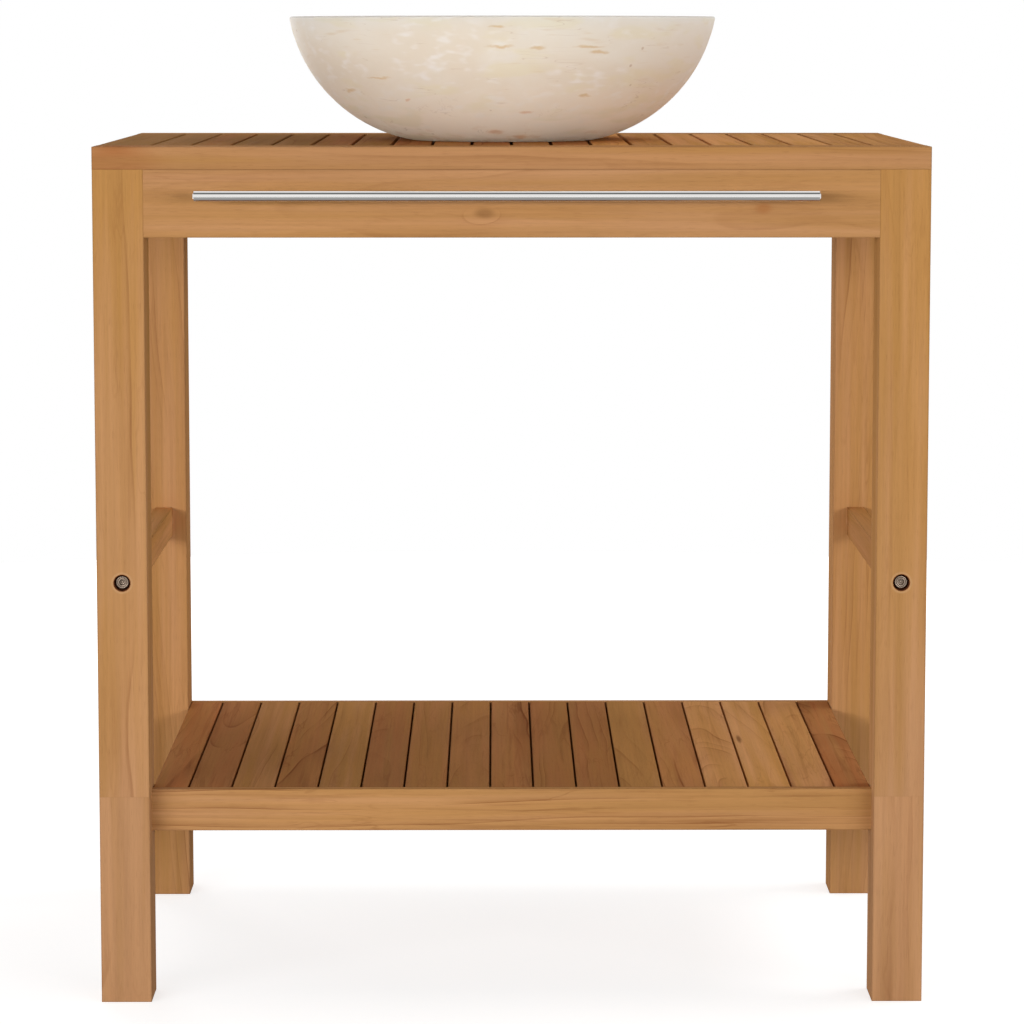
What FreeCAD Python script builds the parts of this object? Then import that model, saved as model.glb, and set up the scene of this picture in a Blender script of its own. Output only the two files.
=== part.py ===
import FreeCAD, Part
import math
import os

# Millimetres. X runs to the right, Y to the back and Z up from the floor.
# Y = 0 is the middle of the whole depth, with the towel bar counted in.

# Stand
stand_width = 740.0
stand_depth = 450.0
leg_height = 750.0
leg_size = 45.0
leg_edge_round = 0.4

# Aprons, set flush with the outer faces of the legs
apron_height = 60.0
apron_thickness = 20.0
rail_edge_round = 0.4

# Tenons of aprons and shelf rails, and the stub tenon on top of each leg
tenon_length = 20.0
tenon_thickness = 10.0
apron_tenon_shoulder = 10.0
shelf_tenon_shoulder = 4.0
mortise_spare = 0.2
stub_size = 16.0
stub_height = 12.0

# Slatted top: rails at front and back, end boards over the legs, slats between them
top_thickness = 20.0
top_rail_width = 45.0
top_end_width = 46.5
top_slat_width = 32.8
top_slat_least_gap = 2.5
groove_depth = 10.0
groove_height = 8.0
groove_stop = 8.0
tongue_spare = 0.2
tongue_end_spare = 0.5
slat_edge_round = 0.8

# Lower shelf: slats in rebates of a front rail and a back rail, each with a lip under the next
shelf_height = 191.0
shelf_rail_height = 38.0
shelf_rail_thickness = 25.0
shelf_front_setback = 20.0
shelf_back_setback = 0.0
shelf_lip = 8.0
shelf_slat_count = 17
shelf_slat_gap = 2.0
shelf_slat_thickness = 15.0
shelf_end_slat_width = 31.0
shelf_side_spare = 0.5
shelf_end_spare = 0.4
shelf_lap_reach = 5.0
shelf_lap_height = 5.0
shelf_lap_spare = 0.3

# Side stretchers, each held by a bolt and a barrel nut at both ends
stretcher_thickness = 17.0
stretcher_height = 28.0
stretcher_centre_height = 382.0
bolt_diameter = 6.0
bolt_hole_spare = 0.3
bolt_overrun = 10.0
bolt_end_spare = 3.0
bolt_head_diameter = 12.0
bolt_head_height = 4.0
bolt_head_bevel = 0.6
bolt_socket_across = 5.0
bolt_socket_depth = 2.6
counterbore_diameter = 14.5
counterbore_depth = 8.0
barrel_nut_diameter = 10.0
barrel_nut_length = 16.0
barrel_nut_inset = 30.0
thread_spare = 0.05
barrel_nut_spare = 0.05

# Towel bar on the front apron
bar_diameter = 9.6
bar_length = 548.0
bar_bevel = 0.8
bar_drop = 22.0
bar_standoff = 30.2
bar_offset = -4.5
posts_offset = -10.0
post_spacing = 414.0
post_diameter = 9.0
spigot_diameter = 5.0
stud_diameter = 6.0
stud_length = 15.0
stud_end_spare = 1.0
stud_spare = 0.05

# Basin, a bowl turned about an upright axis
basin_diameter = 400.0
basin_height = 115.0
basin_base_diameter = 170.0
basin_curve_radius = 142.0
basin_wall = 15.0
basin_floor = 18.0
basin_floor_fall = 3.0
basin_rim_round = 1.5
basin_offset = -8.0

# Waste of the basin: a flanged tube, a plug that lifts, gaskets and a back nut
tube_diameter = 41.9
tube_bore = 36.0
tube_length = 92.0
drain_spare = 2.0
top_hole_spare = 1.0
flange_diameter = 64.0
flange_thickness = 3.0
flange_spare = 0.5
mouth_bevel = 3.0
seal_inner_diameter = 46.0
seal_width = 3.0
seal_thickness = 1.5
seal_spare = 0.1
flange_gasket_thickness = 1.5
tail_gasket_diameter = 70.0
tail_gasket_thickness = 3.0
tail_gasket_spare = 0.5
nut_across = 52.0
nut_thickness = 10.0
guide_depth = 26.0
guide_height = 8.0
guide_diameter = 14.0
spoke_width = 3.0
spoke_height = 5.0
plug_diameter = 58.0
plug_edge = 1.5
plug_height = 5.0
stem_diameter = 8.0
stem_length = 44.0
stem_spare = 0.05

# Places that follow from the sizes above
bar_reach = bar_standoff + bar_diameter / 2
whole_depth = stand_depth + bar_reach
front_y = bar_reach - whole_depth / 2
back_y = front_y + stand_depth
middle_y = (front_y + back_y) / 2
half_width = stand_width / 2
leg_inner_x = half_width - leg_size
leg_middle_x = half_width - leg_size / 2
apron_bottom = leg_height - apron_height
top_height = leg_height + top_thickness
groove_bottom = leg_height + (top_thickness - groove_height) / 2
shelf_ledge = shelf_height - shelf_slat_thickness
shelf_bottom = shelf_height - shelf_rail_height
tube_radius = tube_diameter / 2
drain_radius = tube_radius + drain_spare
recess_depth = flange_thickness + flange_gasket_thickness
flange_height = top_height + basin_floor - basin_floor_fall
bar_y = front_y - bar_standoff
bar_height = leg_height - bar_drop

FRONT, BACK = -1, 1
LEFT, RIGHT = -1, 1
ALONG_X = FreeCAD.Vector(1, 0, 0)
ALONG_Y = FreeCAD.Vector(0, 1, 0)
ALONG_Z = FreeCAD.Vector(0, 0, 1)
quarter_turn = 90
full_turn = 360
hexagon_sides = 6


def inward(end, distance):
    """The Y that lies a distance inside the stand's front or back face."""
    outer = front_y if end == FRONT else back_y
    return outer - end * distance


def block(a, b):
    """A box between two opposite corners."""
    low = [min(p, q) for p, q in zip(a, b)]
    size = [abs(p - q) for p, q in zip(a, b)]
    return Part.makeBox(*size, FreeCAD.Vector(*low))


def eased(shape, axis, radius):
    """The shape with its edges along one axis rounded over."""
    edges = [e for e in shape.Edges if e.tangentAt(e.FirstParameter).cross(axis).Length < 1e-6]
    return shape.makeFillet(radius, edges)


def rod(radius, start, end):
    """A cylinder from one point to another."""
    start = FreeCAD.Vector(*start)
    run = FreeCAD.Vector(*end) - start
    return Part.makeCylinder(radius, run.Length, start, run)


def upright(point):
    """A (radius, height) point in the plane that is turned."""
    return FreeCAD.Vector(point[0], 0, point[1])


def straight(points):
    """The straight edges of an outline through (radius, height) points."""
    return [Part.makeLine(upright(p), upright(q)) for p, q in zip(points, points[1:])]


def arc(start, middle, end):
    """An arc of an outline through three (radius, height) points."""
    return Part.Arc(upright(start), upright(middle), upright(end)).toShape()


def turned(outline):
    """The solid that a closed outline makes about the upright axis."""
    face = Part.Face(Part.Wire(outline))
    return face.revolve(FreeCAD.Vector(), ALONG_Z, full_turn)


def on_basin_axis(shape, height):
    """The shape moved from the origin to a height on the basin's axis."""
    return shape.translated(FreeCAD.Vector(basin_offset, middle_y, height))


def hexagon(across, height):
    """A hexagonal prism that stands on the origin."""
    radius = across / math.sqrt(3)
    turns = [2 * math.pi * i / hexagon_sides for i in range(hexagon_sides + 1)]
    corners = [FreeCAD.Vector(radius * math.cos(a), radius * math.sin(a), 0) for a in turns]
    return Part.Face(Part.makePolygon(corners)).extrude(ALONG_Z * height)


def rail_tenon(side, end, centre, low, high, spare=0):
    """The tenon of a rail along X in a leg, or with some spare room its mortise."""
    half = tenon_thickness / 2 + spare
    return block(
        (side * leg_inner_x, inward(end, centre - half), low - spare),
        (side * (leg_inner_x + tenon_length + spare), inward(end, centre + half), high + spare),
    )


def apron_tenon(side, end, spare=0):
    """The tenon or mortise of the front or back apron."""
    low = apron_bottom + apron_tenon_shoulder
    high = leg_height - apron_tenon_shoulder
    return rail_tenon(side, end, apron_thickness / 2, low, high, spare)


def side_apron_tenon(side, end, spare=0):
    """The tenon or mortise of a side apron, which runs along Y."""
    centre = half_width - apron_thickness / 2
    half = tenon_thickness / 2 + spare
    return block(
        (side * (centre - half), inward(end, leg_size), apron_bottom + apron_tenon_shoulder - spare),
        (
            side * (centre + half),
            inward(end, leg_size - tenon_length - spare),
            leg_height - apron_tenon_shoulder + spare,
        ),
    )


def shelf_setback(end):
    """How far a shelf rail's outer face lies inside the legs' outer face."""
    return shelf_front_setback if end == FRONT else shelf_back_setback


def shelf_tenon(side, end, spare=0):
    """The tenon or mortise of a shelf rail, below the rebate for the slats."""
    centre = shelf_setback(end) + shelf_rail_thickness / 2
    low = shelf_bottom + shelf_tenon_shoulder
    high = shelf_ledge - shelf_tenon_shoulder
    return rail_tenon(side, end, centre, low, high, spare)


def stub_tenon(side, end, spare=0):
    """The stub tenon on top of a leg, or its mortise in the top rail."""
    half = stub_size / 2 + spare
    middle = inward(end, leg_size / 2)
    return block(
        (side * leg_middle_x - half, middle - half, leg_height),
        (side * leg_middle_x + half, middle + half, leg_height + stub_height + spare),
    )


def bolt_way(side, end, radius, start, stop):
    """A cylinder on a bolt's axis, from one depth inside the leg's outer face to another."""
    x = side * leg_middle_x
    z = stretcher_centre_height
    return rod(radius, (x, inward(end, start), z), (x, inward(end, stop), z))


def bolt_tip_depth():
    """How deep a bolt's tip lies inside the leg's outer face."""
    return leg_size + barrel_nut_inset + bolt_overrun


def leg(side, end):
    """A leg with its stub tenon, three mortises and a stepped bolt hole."""
    shape = block(
        (side * half_width, inward(end, 0), 0),
        (side * leg_inner_x, inward(end, leg_size), leg_height),
    )
    shape = eased(shape, ALONG_Z, leg_edge_round).fuse(stub_tenon(side, end))
    for mortise in (apron_tenon, side_apron_tenon, shelf_tenon):
        shape = shape.cut(mortise(side, end, mortise_spare))
    hole_radius = bolt_diameter / 2 + bolt_hole_spare
    shape = shape.cut(bolt_way(side, end, hole_radius, 0, leg_size))
    return shape.cut(bolt_way(side, end, counterbore_diameter / 2, 0, counterbore_depth))


def apron(end):
    """The front or back apron, tenoned into two legs."""
    shape = block(
        (-leg_inner_x, inward(end, 0), apron_bottom),
        (leg_inner_x, inward(end, apron_thickness), leg_height),
    )
    shape = eased(shape, ALONG_X, rail_edge_round)
    for side in (LEFT, RIGHT):
        shape = shape.fuse(apron_tenon(side, end))
    return shape


def front_apron():
    """The front apron with the two holes for the towel bar's studs."""
    shape = apron(FRONT)
    hole_depth = stud_length + stud_end_spare
    for x in post_places():
        hole_end = (x, inward(FRONT, hole_depth), bar_height)
        hole = rod(stud_diameter / 2 + stud_spare, (x, front_y, bar_height), hole_end)
        shape = shape.cut(hole)
    return shape


def side_apron(side):
    """A side apron, tenoned into the front and back leg of its side."""
    shape = block(
        (side * half_width, inward(FRONT, leg_size), apron_bottom),
        (side * (half_width - apron_thickness), inward(BACK, leg_size), leg_height),
    )
    shape = eased(shape, ALONG_Y, rail_edge_round)
    for end in (FRONT, BACK):
        shape = shape.fuse(side_apron_tenon(side, end))
    return shape


def barrel_nut_place(side, end):
    """The point where a barrel nut and its bolt cross."""
    depth = leg_size + barrel_nut_inset
    return FreeCAD.Vector(side * leg_middle_x, inward(end, depth), stretcher_centre_height)


def stretcher(side):
    """A side stretcher with a bolt hole and a barrel nut hole from below at both ends."""
    half_height = ALONG_Z * (stretcher_height / 2)
    half_nut = ALONG_Z * (barrel_nut_length / 2 + barrel_nut_spare)
    shape = block(
        (
            side * leg_middle_x - stretcher_thickness / 2,
            inward(FRONT, leg_size),
            stretcher_centre_height - stretcher_height / 2,
        ),
        (
            side * leg_middle_x + stretcher_thickness / 2,
            inward(BACK, leg_size),
            stretcher_centre_height + stretcher_height / 2,
        ),
    )
    shape = eased(shape, ALONG_Y, rail_edge_round)
    for end in (FRONT, BACK):
        hole_radius = bolt_diameter / 2 + bolt_hole_spare
        hole_depth = bolt_tip_depth() + bolt_end_spare
        shape = shape.cut(bolt_way(side, end, hole_radius, leg_size, hole_depth))
        place = barrel_nut_place(side, end)
        nut_radius = barrel_nut_diameter / 2 + barrel_nut_spare
        shape = shape.cut(rod(nut_radius, place - half_height, place + half_nut))
    return shape


def barrel_nut(side, end):
    """A barrel nut that stands in its stretcher, bored across for the bolt."""
    half = ALONG_Z * (barrel_nut_length / 2)
    place = barrel_nut_place(side, end)
    shape = rod(barrel_nut_diameter / 2, place - half, place + half)
    reach = barrel_nut_inset + leg_size
    bore_start = reach - barrel_nut_diameter
    bore_stop = reach + barrel_nut_diameter
    return shape.cut(bolt_way(side, end, bolt_diameter / 2 + thread_spare, bore_start, bore_stop))


def bolt(side, end):
    """A socket head bolt, with its head on the floor of the leg's counterbore."""
    head_radius = bolt_head_diameter / 2
    shank_radius = bolt_diameter / 2
    head_depth = counterbore_depth - bolt_head_height
    tip = head_depth - bolt_tip_depth()
    shape = turned(
        straight(
            [
                (0, 0),
                (head_radius - bolt_head_bevel, 0),
                (head_radius, -bolt_head_bevel),
                (head_radius, -bolt_head_height),
                (shank_radius, -bolt_head_height),
                (shank_radius, tip),
                (0, tip),
                (0, 0),
            ]
        )
    )
    socket = hexagon(bolt_socket_across, bolt_socket_depth)
    shape = shape.cut(socket.translated(ALONG_Z * -bolt_socket_depth))
    shape.rotate(FreeCAD.Vector(), ALONG_X, -end * quarter_turn)
    place = FreeCAD.Vector(side * leg_middle_x, inward(end, head_depth), stretcher_centre_height)
    return shape.translated(place)


def shelf_rail(end):
    """A shelf rail with a rebate for the slats, tenoned into two legs."""
    outer = shelf_setback(end)
    shape = block(
        (-leg_inner_x, inward(end, outer), shelf_bottom),
        (leg_inner_x, inward(end, outer + shelf_rail_thickness), shelf_height),
    )
    shape = eased(shape, ALONG_X, rail_edge_round)
    rebate = block(
        (-leg_inner_x, inward(end, outer + shelf_lip), shelf_ledge),
        (leg_inner_x, inward(end, outer + shelf_rail_thickness), shelf_height),
    )
    shape = shape.cut(rebate)
    for side in (LEFT, RIGHT):
        shape = shape.fuse(shelf_tenon(side, end))
    return shape


def shelf_slat_places():
    """The left and right X of every shelf slat, with a narrower slat at each end."""
    reach = leg_inner_x - shelf_side_spare
    inner_count = shelf_slat_count - 2
    gaps = (shelf_slat_count - 1) * shelf_slat_gap
    inner_width = (2 * reach - 2 * shelf_end_slat_width - gaps) / inner_count
    widths = [shelf_end_slat_width] + [inner_width] * inner_count + [shelf_end_slat_width]
    places = []
    left = -reach
    for width in widths:
        places.append((left, left + width))
        left += width + shelf_slat_gap
    return places


def shelf_slat(left, right, over_last, under_next):
    """A shelf slat on the ledges of both rails, which laps over the last slat and under the next."""
    start = inward(FRONT, shelf_front_setback + shelf_lip + shelf_end_spare)
    stop = inward(BACK, shelf_back_setback + shelf_lip + shelf_end_spare)
    shape = block((left, start, shelf_ledge), (right, stop, shelf_height))
    shape = eased(shape, ALONG_Y, slat_edge_round)
    if over_last:
        rebate_right = left + shelf_lap_reach + shelf_lap_spare
        rebate_top = shelf_ledge + shelf_lap_height + shelf_lap_spare
        shape = shape.cut(block((left, start, shelf_ledge), (rebate_right, stop, rebate_top)))
    if under_next:
        lip_left = right - slat_edge_round
        lip_right = right + shelf_slat_gap + shelf_lap_reach
        lip_top = shelf_ledge + shelf_lap_height
        shape = shape.fuse(block((lip_left, start, shelf_ledge), (lip_right, stop, lip_top)))
    return shape


def top_rail(end):
    """A full width rail of the top, with a stopped groove for tongues and two stub mortises."""
    shape = block(
        (-half_width, inward(end, 0), leg_height),
        (half_width, inward(end, top_rail_width), top_height),
    )
    shape = eased(shape, ALONG_X, rail_edge_round)
    groove_reach = half_width - groove_stop
    groove = block(
        (-groove_reach, inward(end, top_rail_width - groove_depth), groove_bottom),
        (groove_reach, inward(end, top_rail_width), groove_bottom + groove_height),
    )
    shape = shape.cut(groove)
    for side in (LEFT, RIGHT):
        shape = shape.cut(stub_tenon(side, end, mortise_spare))
    return shape


def top_board(left, right):
    """A slat or end board of the top, with a tongue in the groove of each top rail."""
    shape = block(
        (left, inward(FRONT, top_rail_width), leg_height),
        (right, inward(BACK, top_rail_width), top_height),
    )
    shape = eased(shape, ALONG_Y, slat_edge_round)
    groove_reach = half_width - groove_stop - tongue_end_spare
    tongue_left = max(left + slat_edge_round, -groove_reach)
    tongue_right = min(right - slat_edge_round, groove_reach)
    tongue_start = top_rail_width - groove_depth + tongue_end_spare
    for end in (FRONT, BACK):
        tongue = block(
            (tongue_left, inward(end, tongue_start), groove_bottom),
            (tongue_right, inward(end, top_rail_width), groove_bottom + groove_height - tongue_spare),
        )
        shape = shape.fuse(tongue)
    return shape


def top_end_board(side):
    """An end board of the top, over the legs of one side."""
    edges = sorted((side * half_width, side * (half_width - top_end_width)))
    return top_board(*edges)


def top_slat_places():
    """The left and right X of as many pairs of top slats as fit, with equal gaps."""
    reach = half_width - top_end_width
    half_room = reach - top_slat_least_gap / 2
    count = 2 * int(half_room / (top_slat_width + top_slat_least_gap))
    gap = (2 * reach - count * top_slat_width) / (count + 1)
    lefts = [-reach + gap + i * (top_slat_width + gap) for i in range(count)]
    return [(left, left + top_slat_width) for left in lefts]


def top_slat(left, right):
    """A top slat, cut away where the waste of the basin goes through it."""
    hole_radius = tube_radius + top_hole_spare
    hole = rod(hole_radius, (basin_offset, middle_y, 0), (basin_offset, middle_y, top_height))
    return top_board(left, right).cut(hole)


def post_places():
    """The X of the two towel bar posts."""
    return [posts_offset + side * post_spacing / 2 for side in (LEFT, RIGHT)]


def spigot_way(x, radius):
    """A cylinder from the apron's face to the towel bar's axis."""
    return rod(radius, (x, front_y, bar_height), (x, bar_y, bar_height))


def towel_bar():
    """The towel bar, with a blind hole for the spigot of each post."""
    radius = bar_diameter / 2
    half = bar_length / 2
    shape = turned(
        straight(
            [
                (0, -half),
                (radius - bar_bevel, -half),
                (radius, bar_bevel - half),
                (radius, half - bar_bevel),
                (radius - bar_bevel, half),
                (0, half),
                (0, -half),
            ]
        )
    )
    shape.rotate(FreeCAD.Vector(), ALONG_Y, quarter_turn)
    shape = shape.translated(FreeCAD.Vector(bar_offset, bar_y, bar_height))
    for x in post_places():
        shape = shape.cut(spigot_way(x, spigot_diameter / 2 + stud_spare))
    return shape


def towel_bar_post(x):
    """A post shaped to the bar, with a spigot in the bar and a stud in the apron."""
    half = bar_length / 2
    bar_axis = ((bar_offset - half, bar_y, bar_height), (bar_offset + half, bar_y, bar_height))
    shape = spigot_way(x, post_diameter / 2).cut(rod(bar_diameter / 2, *bar_axis))
    stud_end = (x, inward(FRONT, stud_length), bar_height)
    stud = rod(stud_diameter / 2, (x, front_y, bar_height), stud_end)
    return shape.fuse(spigot_way(x, spigot_diameter / 2)).fuse(stud)


def basin_curve_centre(start, end):
    """The centre of the bowl's outer curve from its base to its rim, as (radius, height)."""
    half = math.dist(start, end) / 2
    reach = math.sqrt(basin_curve_radius**2 - half**2)
    along_radius = (end[0] - start[0]) / (2 * half)
    along_height = (end[1] - start[1]) / (2 * half)
    middle_radius = (start[0] + end[0]) / 2
    middle_height = (start[1] + end[1]) / 2
    return middle_radius - reach * along_height, middle_height + reach * along_radius


def bowl_arc(centre, radius, low, high):
    """The arc of a bowl's wall between two heights, and its two ends."""
    turns = [math.asin((height - centre[1]) / radius) for height in (low, high)]
    turns.insert(1, sum(turns) / 2)
    ends = [(centre[0] + radius * math.cos(a), centre[1] + radius * math.sin(a)) for a in turns]
    return arc(*ends), ends[0], ends[-1]


def basin():
    """The bowl, with a floor that falls to the recess of the waste's flange."""
    base = (basin_base_diameter / 2, 0)
    rim = (basin_diameter / 2, basin_height)
    centre = basin_curve_centre(base, rim)
    outer, outer_low, outer_high = bowl_arc(centre, basin_curve_radius, 0, basin_height)
    inner_radius = basin_curve_radius - basin_wall
    inner, inner_low, inner_high = bowl_arc(centre, inner_radius, basin_floor, basin_height)
    recess_radius = flange_diameter / 2 + flange_spare
    recess_top = basin_floor - basin_floor_fall
    recess_bottom = recess_top - recess_depth
    floor = straight(
        [
            inner_low,
            (recess_radius, recess_top),
            (recess_radius, recess_bottom),
            (drain_radius, recess_bottom),
            (drain_radius, 0),
            outer_low,
        ]
    )
    shape = turned([outer, *straight([outer_high, inner_high]), inner, *floor])
    rim_edges = [e for e in shape.Edges if e.BoundBox.ZMin > basin_height - basin_rim_round]
    shape = shape.makeFillet(basin_rim_round, rim_edges)
    return on_basin_axis(shape, top_height)


def seal_edges():
    """The inner and outer radius of the ring that the plug closes on."""
    inner = seal_inner_diameter / 2
    return inner, inner + seal_width


def waste_body():
    """The flanged tube of the waste, with spokes that hold a guide for the plug's stem."""
    bore_radius = tube_bore / 2
    flange_radius = flange_diameter / 2
    seal_inner, seal_outer = seal_edges()
    shape = turned(
        straight(
            [
                (bore_radius, -tube_length),
                (tube_radius, -tube_length),
                (tube_radius, -flange_thickness),
                (flange_radius, -flange_thickness),
                (flange_radius, 0),
                (seal_outer + seal_spare, 0),
                (seal_outer + seal_spare, -seal_thickness),
                (seal_inner - seal_spare, -seal_thickness),
                (seal_inner - seal_spare, 0),
                (bore_radius + mouth_bevel, 0),
                (bore_radius, -mouth_bevel),
                (bore_radius, -tube_length),
            ]
        )
    )
    spoke_reach = (bore_radius + tube_radius) / 2
    spoke_low = -guide_depth - spoke_height
    half_spoke = spoke_width / 2
    for reach_x, reach_y in ((spoke_reach, half_spoke), (half_spoke, spoke_reach)):
        shape = shape.fuse(block((-reach_x, -reach_y, spoke_low), (reach_x, reach_y, -guide_depth)))
    guide_low = (0, 0, -guide_depth - guide_height)
    guide_high = (0, 0, -guide_depth)
    shape = shape.fuse(rod(guide_diameter / 2, guide_low, guide_high))
    shape = shape.cut(rod(stem_diameter / 2 + stem_spare, guide_low, guide_high))
    return on_basin_axis(shape, flange_height)


def waste_plug():
    """The domed plug with its stem, shut on the flange."""
    plug_radius = plug_diameter / 2
    stem_radius = stem_diameter / 2
    rise = plug_height - plug_edge
    dome_radius = (plug_radius**2 + rise**2) / (2 * rise)
    half_turn = math.asin(plug_radius / dome_radius) / 2
    dome_drop = dome_radius * (1 - math.cos(half_turn))
    dome_middle = (dome_radius * math.sin(half_turn), plug_height - dome_drop)
    lower = straight(
        [
            (0, plug_height),
            (0, -stem_length),
            (stem_radius, -stem_length),
            (stem_radius, 0),
            (plug_radius, 0),
            (plug_radius, plug_edge),
        ]
    )
    dome = arc((plug_radius, plug_edge), dome_middle, (0, plug_height))
    return on_basin_axis(turned([*lower, dome]), flange_height)


def ring(inner, outer, low, high):
    """A flat ring on the basin's axis."""
    points = [(inner, low), (outer, low), (outer, high), (inner, high), (inner, low)]
    return on_basin_axis(turned(straight(points)), 0)


def waste_gaskets():
    """The gaskets under the flange and under the top, and the ring that the plug closes on."""
    flange_bottom = flange_height - flange_thickness
    flange_gasket_low = flange_bottom - flange_gasket_thickness
    tail_inner = tube_radius + tail_gasket_spare
    return [
        ring(drain_radius, flange_diameter / 2, flange_gasket_low, flange_bottom),
        ring(tail_inner, tail_gasket_diameter / 2, leg_height - tail_gasket_thickness, leg_height),
        ring(*seal_edges(), flange_height - seal_thickness, flange_height),
    ]


def waste_back_nut():
    """The hexagonal nut that clamps the basin and the top together."""
    low = leg_height - tail_gasket_thickness - nut_thickness
    bore = rod(tube_radius + thread_spare, (0, 0, 0), (0, 0, nut_thickness))
    return on_basin_axis(hexagon(nut_across, nut_thickness).cut(bore), low)


def every_corner(make):
    """One solid of a kind for each of the four legs."""
    return Part.makeCompound([make(side, end) for end in (FRONT, BACK) for side in (LEFT, RIGHT)])


def all_parts():
    """Every node's shape by its name."""
    parts = {"apron_front": front_apron(), "apron_back": apron(BACK)}
    for side, side_name in ((LEFT, "left"), (RIGHT, "right")):
        for end, end_name in ((FRONT, "front"), (BACK, "back")):
            parts[f"leg_{end_name}_{side_name}"] = leg(side, end)
        parts[f"apron_{side_name}"] = side_apron(side)
        parts[f"stretcher_{side_name}"] = stretcher(side)
        parts[f"top_end_board_{side_name}"] = top_end_board(side)
    for end, end_name in ((FRONT, "front"), (BACK, "back")):
        parts[f"shelf_rail_{end_name}"] = shelf_rail(end)
        parts[f"top_rail_{end_name}"] = top_rail(end)
    for number, place in enumerate(shelf_slat_places(), 1):
        over_last = number > 1
        under_next = number < shelf_slat_count
        parts[f"shelf_slat_{number:02d}"] = shelf_slat(*place, over_last, under_next)
    for number, place in enumerate(top_slat_places(), 1):
        parts[f"top_slat_{number:02d}"] = top_slat(*place)
    parts["frame_bolts"] = every_corner(bolt)
    parts["barrel_nuts"] = every_corner(barrel_nut)
    parts["towel_bar"] = towel_bar()
    parts["towel_bar_posts"] = Part.makeCompound([towel_bar_post(x) for x in post_places()])
    parts["basin"] = basin()
    parts["waste_body"] = waste_body()
    parts["waste_plug"] = waste_plug()
    parts["waste_gaskets"] = Part.makeCompound(waste_gaskets())
    parts["waste_back_nut"] = waste_back_nut()
    return parts


os.makedirs("parts", exist_ok=True)
for name, shape in all_parts().items():
    shape.exportStep(f"parts/{name}.step")
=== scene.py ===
import math

import bpy
from mathutils import Matrix, Vector


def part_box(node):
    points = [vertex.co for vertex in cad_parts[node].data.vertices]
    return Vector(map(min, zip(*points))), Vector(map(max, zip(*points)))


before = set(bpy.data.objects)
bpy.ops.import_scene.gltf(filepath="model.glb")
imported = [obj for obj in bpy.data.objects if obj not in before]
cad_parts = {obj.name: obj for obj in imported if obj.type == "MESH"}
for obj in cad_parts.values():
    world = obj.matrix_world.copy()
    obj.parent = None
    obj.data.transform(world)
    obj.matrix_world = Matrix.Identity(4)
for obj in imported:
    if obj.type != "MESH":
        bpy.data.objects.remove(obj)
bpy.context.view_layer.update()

# Metres, in the frame of the part: X to the right, Y to the back, Z up from the floor.
# Colours are linear light. Noise has its waves to the metre along three axes, its detail and, where it
# has one, its distortion. A mask also has the values of its noise at which it starts and is full.
# An edge, line or other pair of limits goes to a smooth step, and four numbers add its two results.
# A pair of tone or rough is a share and a base, and a pair of relief is a depth and a strength.

# Camera, fitted to the photograph's frame: degrees down and to the right, and lens in millimetres
camera_place = (-0.0146, -3.3419, 0.8679)
camera_pitch = 6.019
camera_turn = 0.269
camera_lens = 124.92
camera_shift = -0.10
right_angle = 90

# Studio: name, place, width, height and power of each soft lamp, all aimed at one point
lamp_target = (0.0, 0.0, 0.5)
lamps = (
    ("key", (-2.3, -3.2, 1.0), 3.0, 0.5, 73.0),
    ("fill", (2.3, -3.2, 1.0), 3.0, 0.5, 49.0),
    ("side", (1.9, 0.3, 3.2), 1.6, 1.6, 30.0),
    ("back", (-1.6, 3.4, 1.1), 1.8, 1.8, 40.0),
)
# World: light on surfaces, and a dark gap in front: sines of its height, half width and front, darkness
world_white = (1.0, 1.0, 1.0, 1.0)
world_light = 0.44
gap_height = 0.84
gap_half_width = 0.34
gap_front = -0.2
gap_darkness = 0.9
# Floor: radius and sides, lightness, and a glow that rises to white between two distances
floor_radius = 2.6
floor_sides = 96
floor_albedo = 0.55
floor_glow = 0.70
floor_fade = (0.7, 1.9)
# Grey card on the floor that shows only in reflections: middle, width, depth and lightness
card_place = (0.0, -1.0, 0.002)
card_width = 2.2
card_depth = 2.6
card_albedo = 0.52

# Wood: colours, gloss, and depth and strength of its relief
wood_gold = (0.50, 0.250, 0.078, 1.0)
wood_rose = (0.51, 0.268, 0.128, 1.0)
wood_line = (0.22, 0.075, 0.024, 1.0)
wood_red = (0.40, 0.150, 0.050, 1.0)
wood_pore = (0.17, 0.065, 0.022, 1.0)
wood_knot = (0.14, 0.055, 0.020, 1.0)
wood_gloss = 0.006
wood_relief = (0.0004, 0.35)

# Noise and masks of the wood, with X along the grain
wood_noise = {
    "wander": ((3.0, 9.0, 9.0), 2.0),
    "fading": ((6.0, 34.0, 34.0), 1.0),
    "fibre": ((7.0, 420.0, 420.0), 3.0),
    "streak": ((2.6, 75.0, 75.0), 2.0),
    "cloud": ((2.6, 14.0, 14.0), 2.0),
    "vein": ((8.0, 80.0, 80.0), 3.0, 0.8),
}
wood_masks = {
    "bands": ((1.6, 30.0, 30.0), 1.0, 0.4, 0.56, 0.72),
    "threads": ((6.0, 190.0, 190.0), 3.0, 0.6, 0.54, 0.68),
    "vein patches": ((8.0, 28.0, 28.0), 1.0, 0.0, 0.48, 0.62),
    "pores": ((70.0, 2800.0, 2800.0), 0.0, 0.0, 0.66, 0.76),
}
vein_line = (0.030, 0.004)
# How far the pattern moves along each axis from one seed to the next
seed_steps = (3.1, 1.7, 2.3)

# Growth rings: reach of their wander, how unevenly they are spaced and weighed, and the line in each
ring_wander = 0.030
ring_waver = 1.8
ring_waver_pace = 0.43
ring_weight = (0.3, 0.72)
ring_weight_pace = 0.71
ring_shade = (0.0, 0.95, 0.0, 0.45)
ring_line = (0.74, 0.93)
ring_close = (0.94, 1.0, 1.0, 0.0)
ring_fading = (0.36, 0.66, 0.05, 1.0)

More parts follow.
